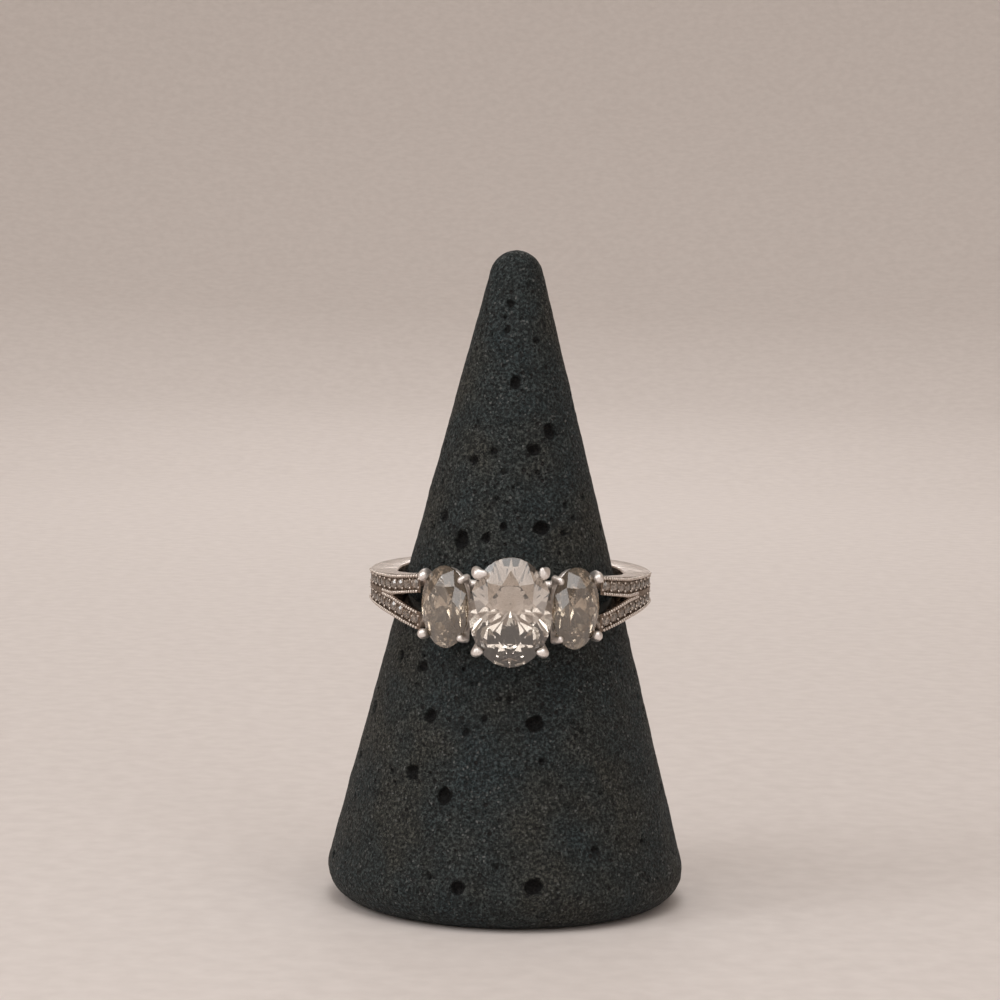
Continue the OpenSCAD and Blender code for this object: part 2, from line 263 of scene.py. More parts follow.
# Painted shade: the middles of the pinholes and bubbles turn near black
painted_pinhole_shade = ramp(cast_stone, pinholes, (0.12, grey(1)), (0.24, grey(0)))
painted_bubble_shade = ramp(cast_stone, bubbles, (0.11, grey(1)), (0.17, grey(0)))
painted_pore_shade = ramp(cast_stone, pore, (0.02, grey(0)), (0.3, grey(1)))
base = mix_colours(cast_stone, 1.0, base, tone, "MULTIPLY")
base = mix_colours(cast_stone, is_grain, base, (0.105, 0.11, 0.108))
base = mix_colours(cast_stone, painted_pinhole_shade, base, grey(0.005))
base = mix_colours(cast_stone, painted_bubble_shade, base, grey(0.004))
base = mix_colours(cast_stone, painted_pore_shade, base, grey(0.003))

dull = ramp(cast_stone, grain, (0.2, grey(0.95)), (0.95, grey(0.5)))
relief = bump(cast_stone, sand, 0.12)
relief = bump(cast_stone, ramp(cast_stone, pinholes, (0.1, grey(0)), (0.26, grey(1))), 0.1, relief)
relief = bump(cast_stone, ramp(cast_stone, bubbles, (0.10, grey(0)), (0.18, grey(1))), 0.15, relief)
connect(cast_stone, shader, Base_Color=base, Roughness=dull, Normal=relief)
print("finish:", cast_stone.name)

# %% [markdown]
# ## Metal
# The ring is silver with a bright white plating, polished by hand. A hand polish leaves faint waves, fine
# lines and a little haze. One mirror finish for all of it would look too new, so three finishes share the
# ring. The band is polished. The claws are softer, as wear leaves them, and paler: painted light that makes
# them read as lit all over. The places that no wheel reaches, under the small stones and beside the grains,
# are brown and dull: partly tarnish, partly painted shade for these hollows.

# %% Metal finishes
def plating(name, low, high, rough, smooth):
    """Polished plating: low and high are the ends of its colour, rough and smooth those of its polish"""
    finish, shader = new_finish(name, Metallic=1.0)
    place = in_millimetres(finish)
    waves = clouds(finish, place, Scale=0.9, Detail=2)
    haze = clouds(finish, place, Scale=3.5, Detail=4, Roughness=0.65)
    lines = clouds(finish, in_millimetres(finish, (1, 1, 14)), Scale=1.6, Detail=3)
    tint = ramp(finish, haze, (0.3, low), (0.7, high))
    gloss = ramp(finish, haze, (0.3, grey(rough)), (0.72, grey(smooth)))
    relief = bump(finish, lines, 0.006, bump(finish, waves, 0.05))
    connect(finish, shader, Base_Color=tint, Roughness=gloss, Normal=relief)
    return finish


polished = plating("polished_plating", (0.48, 0.41, 0.36), (0.84, 0.77, 0.71), 0.28, 0.12)
# The claws get a paler copy of the plating, painted light that makes them read as lit all over, and a rougher
# polish
lit_claw_plating = plating("claw_plating_painted_light", (0.80, 0.74, 0.70), (0.97, 0.93, 0.90), 0.5, 0.36)

# Tarnish and painted shade: the channel's floor and the cups are painted dark brown and dull, as they lie in
# shade
tarnish_and_shade, shader = new_finish("tarnish_and_painted_shade", Metallic=1.0)
dirt_and_shade = clouds(tarnish_and_shade, in_millimetres(tarnish_and_shade), Scale=4.5, Detail=4, Roughness=0.7)
tint = ramp(tarnish_and_shade, dirt_and_shade, (0.3, (0.11, 0.08, 0.062)), (0.7, (0.36, 0.28, 0.22)))
gloss = ramp(tarnish_and_shade, dirt_and_shade, (0.3, grey(0.6)), (0.7, grey(0.35)))
connect(tarnish_and_shade, shader, Base_Color=tint, Roughness=gloss, Normal=bump(tarnish_and_shade, dirt_and_shade, 0.02))
print("finishes:", polished.name, lit_claw_plating.name, tarnish_and_shade.name)

# %% [markdown]
# ## Stones
# The stones are clear, with the high refraction of zirconia. Their sparkle comes from the flat facets of the
# cut, so no pattern of facets is drawn. The finish adds what a worn stone has: a warm tint that varies, a
# little haze, and a thin film that lets most of the light through and scatters the rest. The side stones and
# the small ones get darker, browner copies of the same tint, as painted shade for the dark cone and metal
# seen through them.

# %% Stone finishes
ZIRCONIA_IOR = 2.16
FILM_VARIES = 0.04


def stone_finish(name, low, high, clear):
    """Low and high are the ends of the tint, clear is the least share of the light that passes the film"""
    finish, shader = new_finish(name, IOR=ZIRCONIA_IOR)
    place = in_millimetres(finish)
    cloud = clouds(finish, place, Scale=0.8, Detail=3)
    film = clouds(finish, place, Scale=6, Detail=2)
    tint = ramp(finish, cloud, (0.35, low), (0.65, high))
    haze = ramp(finish, film, (0.45, grey(0.0)), (0.8, grey(0.04)))
    passes = ramp(finish, film, (0.3, grey(clear)), (0.75, grey(clear + FILM_VARIES)))
    relief = bump(finish, film, 0.0006)
    connect(finish, shader, Base_Color=tint, Roughness=haze, Transmission_Weight=passes, Normal=relief)
    return finish


clear_stone = stone_finish("clear_stone", (0.62, 0.54, 0.46), (0.78, 0.71, 0.63), 0.94)
# Darker, browner copies of the tint for the side and small stones: painted shade
side_stone = stone_finish("side_stone", (0.52, 0.42, 0.31), (0.66, 0.56, 0.44), 0.86)
small_stone = stone_finish("small_stone", (0.38, 0.29, 0.22), (0.56, 0.46, 0.38), 0.80)
STONE_FINISH = {
    "center_stone": clear_stone,
    "side_stone_left": side_stone,
    "side_stone_right": side_stone,
    "shoulder_stones_left": small_stone,
    "shoulder_stones_right": small_stone,
}
for node, finish in STONE_FINISH.items():
    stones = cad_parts[node]
    stones.data.materials.clear()
    stones.data.materials.append(finish)
print("stones with a finish:", len(STONE_FINISH))

# %% [markdown]
# ## The cone
# A cone from the menu has long thin faces that can't hold a pore. This one is a half outline, spun round. A
# voxel remesh then spreads even little faces all over it, and the faces round each pore are split twice more.
# Each point is moved last: down into the pores, and in and out by noise for the sandy skin. The flat foot
# stays flat, so its faces are joined into one again.

# %% Outline of the cone
stand_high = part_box("stand_cone")[1]
STAND_R = stand_high.x / MM
STAND_H = stand_high.z / MM
TIP_R = 2.0
FOOT_ROUND = 2.45
ARC_STEP = 5


def sin(degrees):
    return math.sin(math.radians(degrees))


def cos(degrees):
    return math.cos(math.radians(degrees))


def arc(centre, radius, start, end):
    """Points of an arc in the plane of X and Z, its end included"""
    count = math.ceil((end - start) / ARC_STEP)
    angles = [start + (end - start) * k / count for k in range(count + 1)]
    return [centre + radius * Vector((cos(a), 0, sin(a))) for a in angles]


# The side is the line that touches both arcs, and slant is how far it leans from upright
foot_centre = Vector((STAND_R - FOOT_ROUND, 0, FOOT_ROUND))
tip_centre = Vector((0, 0, STAND_H - TIP_R))
rise = tip_centre - foot_centre
slant = math.degrees(math.atan2(foot_centre.x, rise.z) + math.asin((FOOT_ROUND - TIP_R) / rise.length))
side_low = foot_centre + FOOT_ROUND * Vector((cos(slant), 0, sin(slant)))
outline = [Vector((0, 0, 0))]
outline += arc(foot_centre, FOOT_ROUND, -90, slant)
outline += arc(tip_centre, TIP_R, slant, 90)
print("slope of the side in degrees:", round(slant, 2), "points of the outline:", len(outline))

# %% Spin the cone and even out its faces
STAND_VOXEL = 0.3
SPIN_STEPS = 180
FACES_DOWN = -0.999
stand = bmesh.new()
verts = [stand.verts.new(point) for point in outline]
edges = [stand.edges.new(pair) for pair in zip(verts, verts[1:])]
bmesh.ops.spin(
    stand, geom=edges, cent=(0, 0, 0), axis=(0, 0, 1), angle=math.tau, steps=SPIN_STEPS,
    use_merge=True, use_duplicate=False)
bmesh.ops.remove_doubles(stand, verts=stand.verts, dist=MERGE)
bmesh.ops.recalc_face_normals(stand, faces=stand.faces)
run_modifier(stand, "REMESH", mode="VOXEL", voxel_size=STAND_VOXEL)
foot = [
    face for face in stand.faces
    if face.normal.z < FACES_DOWN and face.calc_center_median().z < STAND_VOXEL]
bmesh.ops.dissolve_faces(stand, faces=foot, use_verts=True)
print("faces over the cone:", len(stand.faces))

# %% [markdown]
# ## Pores
# The cast stone is full of burst bubbles. The large ones are those of the CAD cone. More are known from the
# photograph, and beyond what it shows they are scattered by a seeded draw. A boolean with balls would cut
# them with sharp rims. Sinking the points of the skin is quicker, and leaves rims as crumbly as the stone.
# How deep each point sank is kept on it, and the finish uses that to paint the pores near black as painted
# shade. A boolean with balls would cut
# them with sharp rims. Sinking the points of the skin is quicker, and leaves rims as crumbly as the stone.

# %% Places of the pores
# Height as a share of the cone's, angle from the front and radius, so a pore stays put if the cone changes
LARGE_PORES = [
    (0.567, -32, 0.66), (0.304, 11, 0.66), (0.072, 9, 0.66), (0.196, -23, 0.63), (0.730, 33, 0.59),
    (0.224, -38, 0.59), (0.588, 19, 0.59), (0.308, -34, 0.53), (0.067, -15, 0.53), (0.803, 1, 0.50),
    (0.703, 17, 0.50), (0.386, -60, 0.46), (0.599, -50, 0.46), (0.377, -43, 0.46), (0.685, -32, 0.40),
    (0.572, -16, 0.40), (0.130, 100, 0.59), (0.330, 130, 0.66), (0.520, 160, 0.59), (0.220, 190, 0.66),
    (0.640, 215, 0.53), (0.380, 240, 0.66), (0.120, 265, 0.59), (0.300, 285, 0.53),
]
SMALL_PORES = [
    (0.88, -12, 0.30), (0.865, 28, 0.28), (0.873, -35, 0.22), (0.92, -9, 0.33), (0.70, -16, 0.33),
    (0.59, -5, 0.33), (0.12, 31, 0.33), (0.12, 53, 0.30), (0.58, 34, 0.29), (0.29, -17, 0.29),
    (0.08, -25, 0.29), (0.31, -10, 0.29), (0.25, 13, 0.29), (0.58, -59, 0.26), (0.67, -7, 0.26),
    (0.36, -16, 0.25), (0.64, -73, 0.24), (0.65, -61, 0.24), (0.63, 58, 0.24), (0.37, 51, 0.24),
    (0.60, 43, 0.24), (0.22, -48, 0.24), (0.62, 38, 0.24), (0.67, 19, 0.24), (0.38, -21, 0.24),
    (0.34, 0, 0.24), (0.10, -3, 0.24), (0.35, -44, 0.22), (0.63, -11, 0.22), (0.20, 36, 0.22),
    (0.29, 31, 0.22), (0.34, -4, 0.22), (0.95, 25, 0.22),
]
# Ranges of the draw, with the likeliest radius at the back after its range
BACK_PORES = 190
BACK_ANGLES = (75, 285)
BACK_RADII = (0.16, 0.42, 0.2)
FRONT_PORES = 60
FRONT_ANGLES = (-75, 75)
FRONT_RADII = (0.12, 0.17)
AREA_DRAW = (0.01, 0.92)
SEED = 7
draw = random.Random(SEED)
pores = LARGE_PORES + SMALL_PORES
for k in range(BACK_PORES + FRONT_PORES):
    # A cone has less side higher up, and the root spreads the pores evenly over it
    share = 1 - math.sqrt(draw.uniform(*AREA_DRAW))
    if k < BACK_PORES:
        pores.append((share, draw.uniform(*BACK_ANGLES), draw.triangular(*BACK_RADII)))
    else:
        pores.append((share, draw.uniform(*FRONT_ANGLES), draw.uniform(*FRONT_RADII)))
print("pores:", len(pores))

# %% Split the faces round each pore
PORE_MARGIN = 1.3
SPLITS = 2


def on_side(share, angle):
    """Point and outward direction of the cone's side, at a share of its height and an angle from its front"""
    z = share * STAND_H
    r = side_low.x - (z - side_low.z) * math.tan(math.radians(slant))
    out = Vector((sin(angle) * cos(slant), -cos(angle) * cos(slant), sin(slant)))
    return Vector((r * sin(angle), -r * cos(angle), z)), out


def points_of(bm):
    """A tree that finds the points near a place"""
    bm.verts.ensure_lookup_table()
    bm.verts.index_update()
    tree = KDTree(len(bm.verts))
    for vert in bm.verts:
        tree.insert(vert.co, vert.index)
    tree.balance()
    return tree


for level in range(SPLITS):
    tree = points_of(stand)
    near = set()
    for share, angle, radius in pores:
        reach = radius * PORE_MARGIN + STAND_VOXEL / 2 ** level
        near.update(index for _, index, _ in tree.find_range(on_side(share, angle)[0], reach))
    edges = [edge for edge in stand.edges if edge.verts[0].index in near and edge.verts[1].index in near]
    bmesh.ops.subdivide_edges(stand, edges=edges, cuts=1, use_grid_fill=True)
    print("faces after splitting:", len(stand.faces))

# %% Sink the pores
PORE_DEPTH = 0.95
PORE_STRETCH = (0.85, 1.15)
PORE_WAVER = 0.2
WAVER_SCALE = 2.5
tree = points_of(stand)
stand.normal_update()
sunk = {}
for share, angle, radius in pores:
    centre, out = on_side(share, angle)
    stretch = draw.uniform(*PORE_STRETCH)
    for co, index, _ in tree.find_range(centre, radius * PORE_MARGIN):
        off = co - centre
        off -= out * off.dot(out)
        across = math.hypot(math.hypot(off.x, off.y) * stretch, off.z / stretch) / radius
        across += PORE_WAVER * noise.noise(co * WAVER_SCALE)
        if across < 1:
            sunk[index] = max(sunk.get(index, 0), PORE_DEPTH * radius * math.sqrt(1 - across * across))
print("points in pores:", len(sunk))

# %% Roughen the skin
SKIN_SAND = 0.030
SAND_SCALE = 1.9
SKIN_WAVES = 0.05
WAVES_SCALE = 0.5
# How deep each point sank is kept, so the finish can paint the pores dark as painted shade
shade = stand.verts.layers.float.new("pore_depth")
for vert in stand.verts:
    if vert.co.z < STAND_VOXEL:
        continue
    sandy = SKIN_SAND * noise.noise(vert.co * SAND_SCALE)
    wavy = SKIN_WAVES * noise.noise(vert.co * WAVES_SCALE)
    depth = sunk.get(vert.index, 0)
    vert[shade] = depth
    vert.co += vert.normal * (sandy + wavy - depth)
make_piece("stand_skin", stand, TO_METRES, "stand_cone", [cast_stone])

# %% [markdown]
# ## Sizes of the ring
# The metal is drawn as if the ring lay flat round the Z axis, with its stones towards -Y. Angles start at the
# front. The shank's section changes slowly on its way round. It could be drawn at a few places and blended
# between them, but then each new size means drawing it again. So each size is a function of the angle.

# %% Sizes of the ring
# The shank: the radius of its hole, thickness and height at the side and at the back, and rounded edges
BORE_R = 8.4
SHANK_T = 2.13
BACK_T = 1.7
SIDE_H = 2.24
BACK_H = 1.7
SHANK_EDGE = 0.1
BACK_EDGE = 0.45
INNER_EDGE = 0.15
# The shoulders: their height at the head, the split, how they thin outside and inside, and how they widen
HEAD_H = 4.2
SPLIT_W = 1.46
SPLIT_ANGLE = 21.5
SHOULDER_FLAT = 0.42
ARM_HOLLOW = 0.5
EVEN_GROWTH = 0.55
# The rows of small stones: the last angle, the channel, and the stones' size and distance
ROW_END = 94
CHANNEL_DEPTH = 0.12
SMALL_D = 0.8
SMALL_APART = 0.16
# The large stones: width, height and girdle, crown and pavilion as shares of the width, and their places
CENTRE_SIZE = Vector((6.0, 8.0, 0.2))
SIDE_SIZE = Vector((4.0, 6.0, 0.2))
CROWN_SHARE = 0.15
PAVILION_SHARE = 0.46
CENTRE_LIFT = 3.5
SIDE_STEP = 1.0
SIDE_TURN = 33
# Gaps: between large stones, from a stone to its seat and from the ring to the cone
STONES_APART = 0.04
STONE_GAP = 0.04
SEAT_GAP = 0.1
# Degrees from the outer stones to the ends of the arms, and from there to the rows
HEAD_MARGIN = 2.2
ROW_MARGIN = 1.5

side_shift = CENTRE_SIZE.x / 2 + STONES_APART + SIDE_SIZE.x / 2 * cos(SIDE_TURN)
side_front = BORE_R + CENTRE_LIFT - SIDE_STEP - SIDE_SIZE.x / 2 * sin(SIDE_TURN)
head_x = side_shift + SIDE_SIZE.x / 2 * cos(SIDE_TURN)
head_y = side_front - SIDE_SIZE.x / 2 * sin(SIDE_TURN)
HEAD_ANGLE = HEAD_MARGIN + math.degrees(math.atan2(head_x, head_y))
SPLIT_END = HEAD_ANGLE + SPLIT_ANGLE
ROW_START = HEAD_ANGLE + ROW_MARGIN
print("head ends at", round(HEAD_ANGLE, 2), "degrees, the split at", round(SPLIT_END, 2))

# %% Sizes at an angle
def to_head(a):
    """1 at the ends of the arms, 0 from the side of the finger on"""
    return max(0, (90 - a) / (90 - HEAD_ANGLE))


def to_back(a):
    """0 up to the side of the finger, 1 at the back"""
    return (1 - cos(2 * max(0, a - 90))) / 2


def outer_r(a):
    return BORE_R + SHANK_T - SHOULDER_FLAT * sin(180 * to_head(a)) + (BACK_T - SHANK_T) * to_back(a)


def inner_r(a):
    return BORE_R + ARM_HOLLOW * to_head(a)


def half_h(a):
    growth = EVEN_GROWTH * to_head(a) + (1 - EVEN_GROWTH) * to_head(a) ** 2
    return SIDE_H / 2 + (HEAD_H - SIDE_H) / 2 * growth + (BACK_H - SIDE_H) / 2 * to_back(a)


def half_split(a):
    return SPLIT_W / 2 * max(0, SPLIT_END - a) / SPLIT_ANGLE


def row_z(a):
    return (half_h(a) + half_split(a)) / 2


def round_point(a, r, z):
    return Vector((r * sin(a), -r * cos(a), z))


row_pitch = math.degrees((SMALL_D + SMALL_APART) / (BORE_R + SHANK_T - SHOULDER_FLAT - CHANNEL_DEPTH))
row_count = int((ROW_END - ROW_START) / row_pitch)
row_angles = [ROW_START + row_pitch * (i + 0.5) for i in range(row_count)]
channel_half = SMALL_D / 2 + STONE_GAP
print(row_count, "stones a row, every", round(row_pitch, 2), "degrees")

# %% Seat of the ring on the cone
TILT = 2.5
LEAN = 0.3
seat_z = side_low.z + (side_low.x - BORE_R + SEAT_GAP) / math.tan(math.radians(slant))
seat_shift = BORE_R * math.tan(math.radians(slant))
seat = Vector((-seat_shift * sin(LEAN), -seat_shift * sin(TILT), seat_z + SIDE_H / 2))
ON_STAND = TO_METRES @ Matrix.Translation(seat) @ turned(-LEAN, "Y") @ turned(TILT, "X")
print("centre of the ring:", [round(value, 3) for value in seat])

# %% [markdown]
# ## The band
# A jeweller casts the shank and its two split shoulders in one piece and cuts a channel along each arm for
# the small stones. It could be swept along a curve, but its section changes all the way. One quarter of it is
# enough: a section is spun from the head to the back, each point then takes its place for its own angle, and
# two mirrors finish the round. Where the arms have met, the wall between the halves is taken out, so the
# mirror closes them into one.

# %% Corners of the section
ROUND_STEPS = 3
ARM_INNER_EDGE = 0.12
ARM_OUTER_EDGE = 0.1
CHANNEL_LIP = 0.03


def corners(a):
    """Corners of the upper half of the section: radius, height, side of the metal in both, start of the round
    and its radius. The rounds between the arms fade out where the arms meet"""
    i, o, h, s, m = inner_r(a), outer_r(a), half_h(a), half_split(a), row_z(a)
    cut, lip = (CHANNEL_DEPTH, CHANNEL_LIP) if ROW_START <= a <= ROW_END else (0, 0)
    meet = min(1, s / ARM_INNER_EDGE)
    outer_edge = SHANK_EDGE + (BACK_EDGE - SHANK_EDGE) * to_back(a)
    top, bottom = min(m + channel_half, h - outer_edge - lip), max(m - channel_half, s)
    return [
        (i, s, 1, 1, 270, ARM_INNER_EDGE * meet),
        (i, h, 1, -1, 180, INNER_EDGE),
        (o, h, -1, -1, 90, outer_edge),
        (o, top, -1, 1, 0, lip),
        (o - cut, top, 0, 0, 0, 0),
        (o - cut, bottom, 0, 0, 0, 0),
        (o, bottom, -1, -1, 90, lip),
        (o, s, -1, 1, 0, ARM_OUTER_EDGE * meet),
    ]


def section(a):
    """Points of the upper half of the section. A corner with no side of the metal stays one sharp point"""
    points = []
    for r, z, side_r, side_z, start, rounding in corners(a):
        for k in range(ROUND_STEPS + 1):
            turn = start - 90 * k / ROUND_STEPS
            at_r = r + rounding * (side_r + cos(turn))
            at_z = z + rounding * (side_z + sin(turn))
            points.append(round_point(a, at_r, at_z))
            if side_r == 0:
                break
    return points


print("points of a section:", len(section(HEAD_ANGLE)))

# %% Spin a quarter of the band
BAND_STEPS = 142
SAME_PLANE = 0.0005
band = bmesh.new()
number = band.verts.layers.int.new("number")
first = [band.verts.new(point) for point in section(HEAD_ANGLE)]
for index, vert in enumerate(first):
    vert[number] = index
edges = [band.edges.new((first[i], first[(i + 1) % len(first)])) for i in range(len(first))]
band.faces.new(first)
bmesh.ops.spin(
    band, geom=edges, cent=(0, 0, 0), axis=(0, 0, 1), angle=math.radians(180 - HEAD_ANGLE),
    steps=BAND_STEPS, use_merge=False, use_duplicate=False)
for vert in band.verts:
    a = min(180, max(HEAD_ANGLE, math.degrees(math.atan2(vert.co.x, -vert.co.y)) % 360))
    vert.co = section(a)[vert[number]]
inner_wall = [face for face in band.faces if all(abs(vert.co.z) < SAME_PLANE for vert in face.verts)]
bmesh.ops.delete(band, geom=inner_wall, context="FACES")
bmesh.ops.remove_doubles(band, verts=band.verts, dist=SAME_PLANE)
bmesh.ops.recalc_face_normals(band, faces=band.faces)
print("quarter of the band:", len(band.faces), "faces")

# %% [markdown]
# ## Cups
# Each small stone sits in a cup that the setter drills into the channel's floor. The floor could stay flat,
# as stones hide it, but they are clear, and the dark hollow behind gives them their depth. So cones are cut
# out of the metal, each with a straight mouth that reaches out past the floor. The inside of a cup and the
# floor keep the dark brown finish, partly tarnish and partly painted shade.

# %% Cones that cut the cups
CUP_SIDES = 24
CUP_DEPTH = 0.55
CUP_LOW_R = 0.12
CUP_RAISED = 0.02
CUP_PLAY = 0.005


def verts_of(made):
    """The points among all that an operator made"""
    return [item for item in made if isinstance(item, bmesh.types.BMVert)]


def open_edges(bm):
    return sum(not edge.is_manifold for edge in bm.edges)


cups = bmesh.new()
for a in row_angles:
    middle = round_point(a, outer_r(a) - CHANNEL_DEPTH - CUP_DEPTH / 2 + CUP_RAISED, row_z(a))
    cup = bmesh.ops.create_cone(
        cups, cap_ends=True, segments=CUP_SIDES, radius1=CUP_LOW_R, radius2=channel_half - CUP_PLAY,
        depth=CUP_DEPTH, matrix=Matrix.Translation(middle) @ turned(a, "Z") @ turned(90, "X"))
    faces = {face for vert in cup["verts"] for face in vert.link_faces}
    lid = max(faces, key=lambda face: math.hypot(*face.calc_center_median().xy))
    mouth = bmesh.ops.extrude_face_region(cups, geom=[lid], use_keep_orig=True)["geom"]
    bmesh.ops.delete(cups, geom=[lid], context="FACES_ONLY")
    bmesh.ops.translate(cups, vec=round_point(a, CHANNEL_DEPTH, 0), verts=verts_of(mouth))
print("open edges of the cups:", open_edges(cups))

# %% Finish of the channel and its cups
POLISH = 0
TARNISH_AND_SHADE = 1
RIM_KEPT = 0.02
rows_end = row_angles[-1] + row_pitch / 2
# The cups and the channel's floor take the finish of tarnish and painted shade
for face in cups.faces:
    face.material_index = TARNISH_AND_SHADE
for face in band.faces:
    centre = face.calc_center_median()
    a = math.degrees(math.atan2(centre.x, -centre.y))
    outer = math.hypot(centre.x, centre.y) > outer_r(a) - CHANNEL_DEPTH - SAME_PLANE
    between = half_split(a) + RIM_KEPT < centre.z < half_h(a) - RIM_KEPT
    face.material_index = TARNISH_AND_SHADE if outer and between and a <= rows_end else POLISH
print("tarnished faces:", sum(face.material_index == TARNISH_AND_SHADE for face in band.faces))

# %% Finish the round and cut the cups
BAND_CREASE = 32


def mirror_all(bm, axis, merge_dist):
    """Adds a mirror image of all that is in a bmesh"""
    everything = bm.verts[:] + bm.edges[:] + bm.faces[:]
    bmesh.ops.mirror(bm, geom=everything, matrix=Matrix.Identity(4), merge_dist=merge_dist, axis=axis)


def cut_away(bm, cutter):
    """Takes the cutter's volume out of a bmesh"""
    mesh = bpy.data.meshes.new("cutter")
    cutter.to_mesh(mesh)
    tool = bpy.data.objects.new("cutter", mesh)
    bpy.context.scene.collection.objects.link(tool)
    run_modifier(bm, "BOOLEAN", object=tool, operation="DIFFERENCE", solver="EXACT")
    bpy.data.objects.remove(tool)
    bpy.data.meshes.remove(mesh)
    cutter.free()


for axis in ("Z", "X"):
    mirror_all(band, axis, SAME_PLANE)
    mirror_all(cups, axis, 0)
bmesh.ops.remove_doubles(band, verts=band.verts, dist=SAME_PLANE)
bmesh.ops.recalc_face_normals(band, faces=band.faces)
bmesh.ops.recalc_face_normals(cups, faces=cups.faces)
cut_away(band, cups)
bmesh.ops.dissolve_degenerate(band, dist=SAME_PLANE, edges=band.edges)
print("open edges of the band:", open_edges(band))
make_piece("ring_band", band, ON_STAND, "ring_mount", [polished, tarnish_and_shade], BAND_CREASE)

# %% [markdown]
# ## The head
# Two wires run from arm to arm behind the stones, an oval rail lies under each stone, and twelve claws rise
# from the wires and lap over the stones. Each claw is a chain of short tapered rods. Joined by booleans, they
# would meet in hard creases. A fine voxel remesh and a little smoothing melt rods, wires and rails into one
# casting instead, as solder does.

# %% Places of the large stones
def stone_matrix(at, turn):
    """From a stone's own frame, with its table towards +Z, to the ring's frame"""
    return Matrix.Translation((at[0], at[1], 0)) @ turned(turn, "Z") @ turned(90, "X")


def side_stone_at(s):
    return stone_matrix((s * side_shift, -side_front), s * SIDE_TURN)


centre_stone_at = stone_matrix((0, -BORE_R - CENTRE_LIFT), 0)
LARGE_STONES = {
    "center_stone": (centre_stone_at, CENTRE_SIZE),
    "side_stone_left": (side_stone_at(-1), SIDE_SIZE),
    "side_stone_right": (side_stone_at(1), SIDE_SIZE),
}
print("large stones:", len(LARGE_STONES))

# %% Shape of a claw
wire_z = (half_h(HEAD_ANGLE) + half_split(HEAD_ANGLE)) / 2
wire_r = inner_r(HEAD_ANGLE)
WIRE_T = 0.8
WIRE_H = 0.9
# How far a claw stands off the stone's edge, below it, beside it and above it, and how low its first bend is
OFF_BELOW = 0.2
OFF_BESIDE = 0.1
OFF_ABOVE = -0.02
BEND_DROP = 0.1
# Radii and heights of the balls that round its end, as shares of the end's size, and the slope of its tip
NECK_SHARE = 0.47
END_SHARE = 0.48
TIP_SHARE = 0.26
END_RISE = 0.28
TIP_SLOPE = 0.3


def rod(bm, from_ball, to_ball):
    """The hull round two balls, each a centre and a radius"""
    part = bmesh.new()
    for centre, radius in (from_ball, to_ball):
        bmesh.ops.create_icosphere(part, subdivisions=2, radius=radius, matrix=Matrix.Translation(centre))
    hull = bmesh.ops.convex_hull(part, input=part.verts)
    bmesh.ops.delete(part, geom=verts_of(hull["geom_interior"] + hull["geom_unused"]), context="VERTS")
    mesh = bpy.data.meshes.new("rod")
    part.to_mesh(mesh)
    part.free()
    bm.from_mesh(mesh)
    bpy.data.meshes.remove(mesh)


def claw(bm, stone, size, share, s, t, base_angle, thick, end_d, lap):
    """A claw at one corner of a stone: s and t say which side and which end, lap where its tip points"""
    half = Vector((size.x / 2, size.y / 2))
    corner = Vector((s * half.x * share[0], t * half.y * share[1]))
    out = Vector((s * share[1], t * share[0])).normalized()

    def over(distance, z, across=(0, 0)):
        flat = corner + out * distance + Vector(across)
        return stone @ Vector((flat.x, flat.y, z))

    rise = size.z / 2 + end_d * END_RISE
    chain = [
        (round_point(base_angle, wire_r + WIRE_T / 2, t * wire_z), thick / 2),
        (over(OFF_BELOW, -size.z - BEND_DROP), thick / 2),
        (over(OFF_BESIDE, size.z / 2), end_d * NECK_SHARE),
        (over(OFF_ABOVE, rise), end_d * END_SHARE),
        (over(OFF_ABOVE, rise + math.hypot(*lap) * TIP_SLOPE, lap), end_d * TIP_SHARE),
    ]
    for first_ball, second_ball in zip(chain, chain[1:]):
        rod(bm, first_ball, second_ball)


print("wires at a radius of", round(wire_r, 2), "and", round(wire_z, 2), "above and below the middle")

# %% Twelve claws
PRONG_D = 0.66
INNER_PRONG_D = 0.54
# The corner that a claw holds, as shares of half the stone's width and height
CENTRE_CORNER = (0.79, 0.71)
INNER_CORNER = (0.76, 0.71)
OUTER_CORNER = (0.87, 0.71)
# Where it rises from a wire, in degrees from the front
CENTRE_BASE = 9
INNER_BASE = 20
OUTER_BASE = 35
# The size of its end and how far its tip laps over the stone, by side and end for the centre stone
CENTRE_ENDS = {
    (-1, 1): (0.92, (0.5, 0.05)),
    (1, 1): (0.84, (-0.12, 0.36)),
    (-1, -1): (0.82, (0.26, 0.02)),
    (1, -1): (0.82, (-0.28, 0.04)),
}
INNER_END = (0.58, (0.1, -0.1))
OUTER_END = (0.84, (-0.14, -0.08))
head = bmesh.new()
for s in (-1, 1):
    for t in (-1, 1):
        end_d, lap = CENTRE_ENDS[s, t]
        claw(head, centre_stone_at, CENTRE_SIZE, CENTRE_CORNER, s, t, s * CENTRE_BASE, PRONG_D, end_d, lap)
        end_d, (x, y) = INNER_END
        claw(head, side_stone_at(s), SIDE_SIZE, INNER_CORNER, -s, t, s * INNER_BASE, INNER_PRONG_D, end_d,
             (x * s, y * t))
        end_d, (x, y) = OUTER_END
        claw(head, side_stone_at(s), SIDE_SIZE, OUTER_CORNER, s, t, s * OUTER_BASE, PRONG_D, end_d,
             (x * s, y * t))
print("faces of the claws:", len(head.faces))

# %% Wires
WIRE_SIDES = 16
WIRE_STEPS = 48
WIRE_OVERRUN = 3
WIRE_REACH = HEAD_ANGLE + WIRE_OVERRUN


def edges_of(verts):
    return list({edge for vert in verts for edge in vert.link_edges})


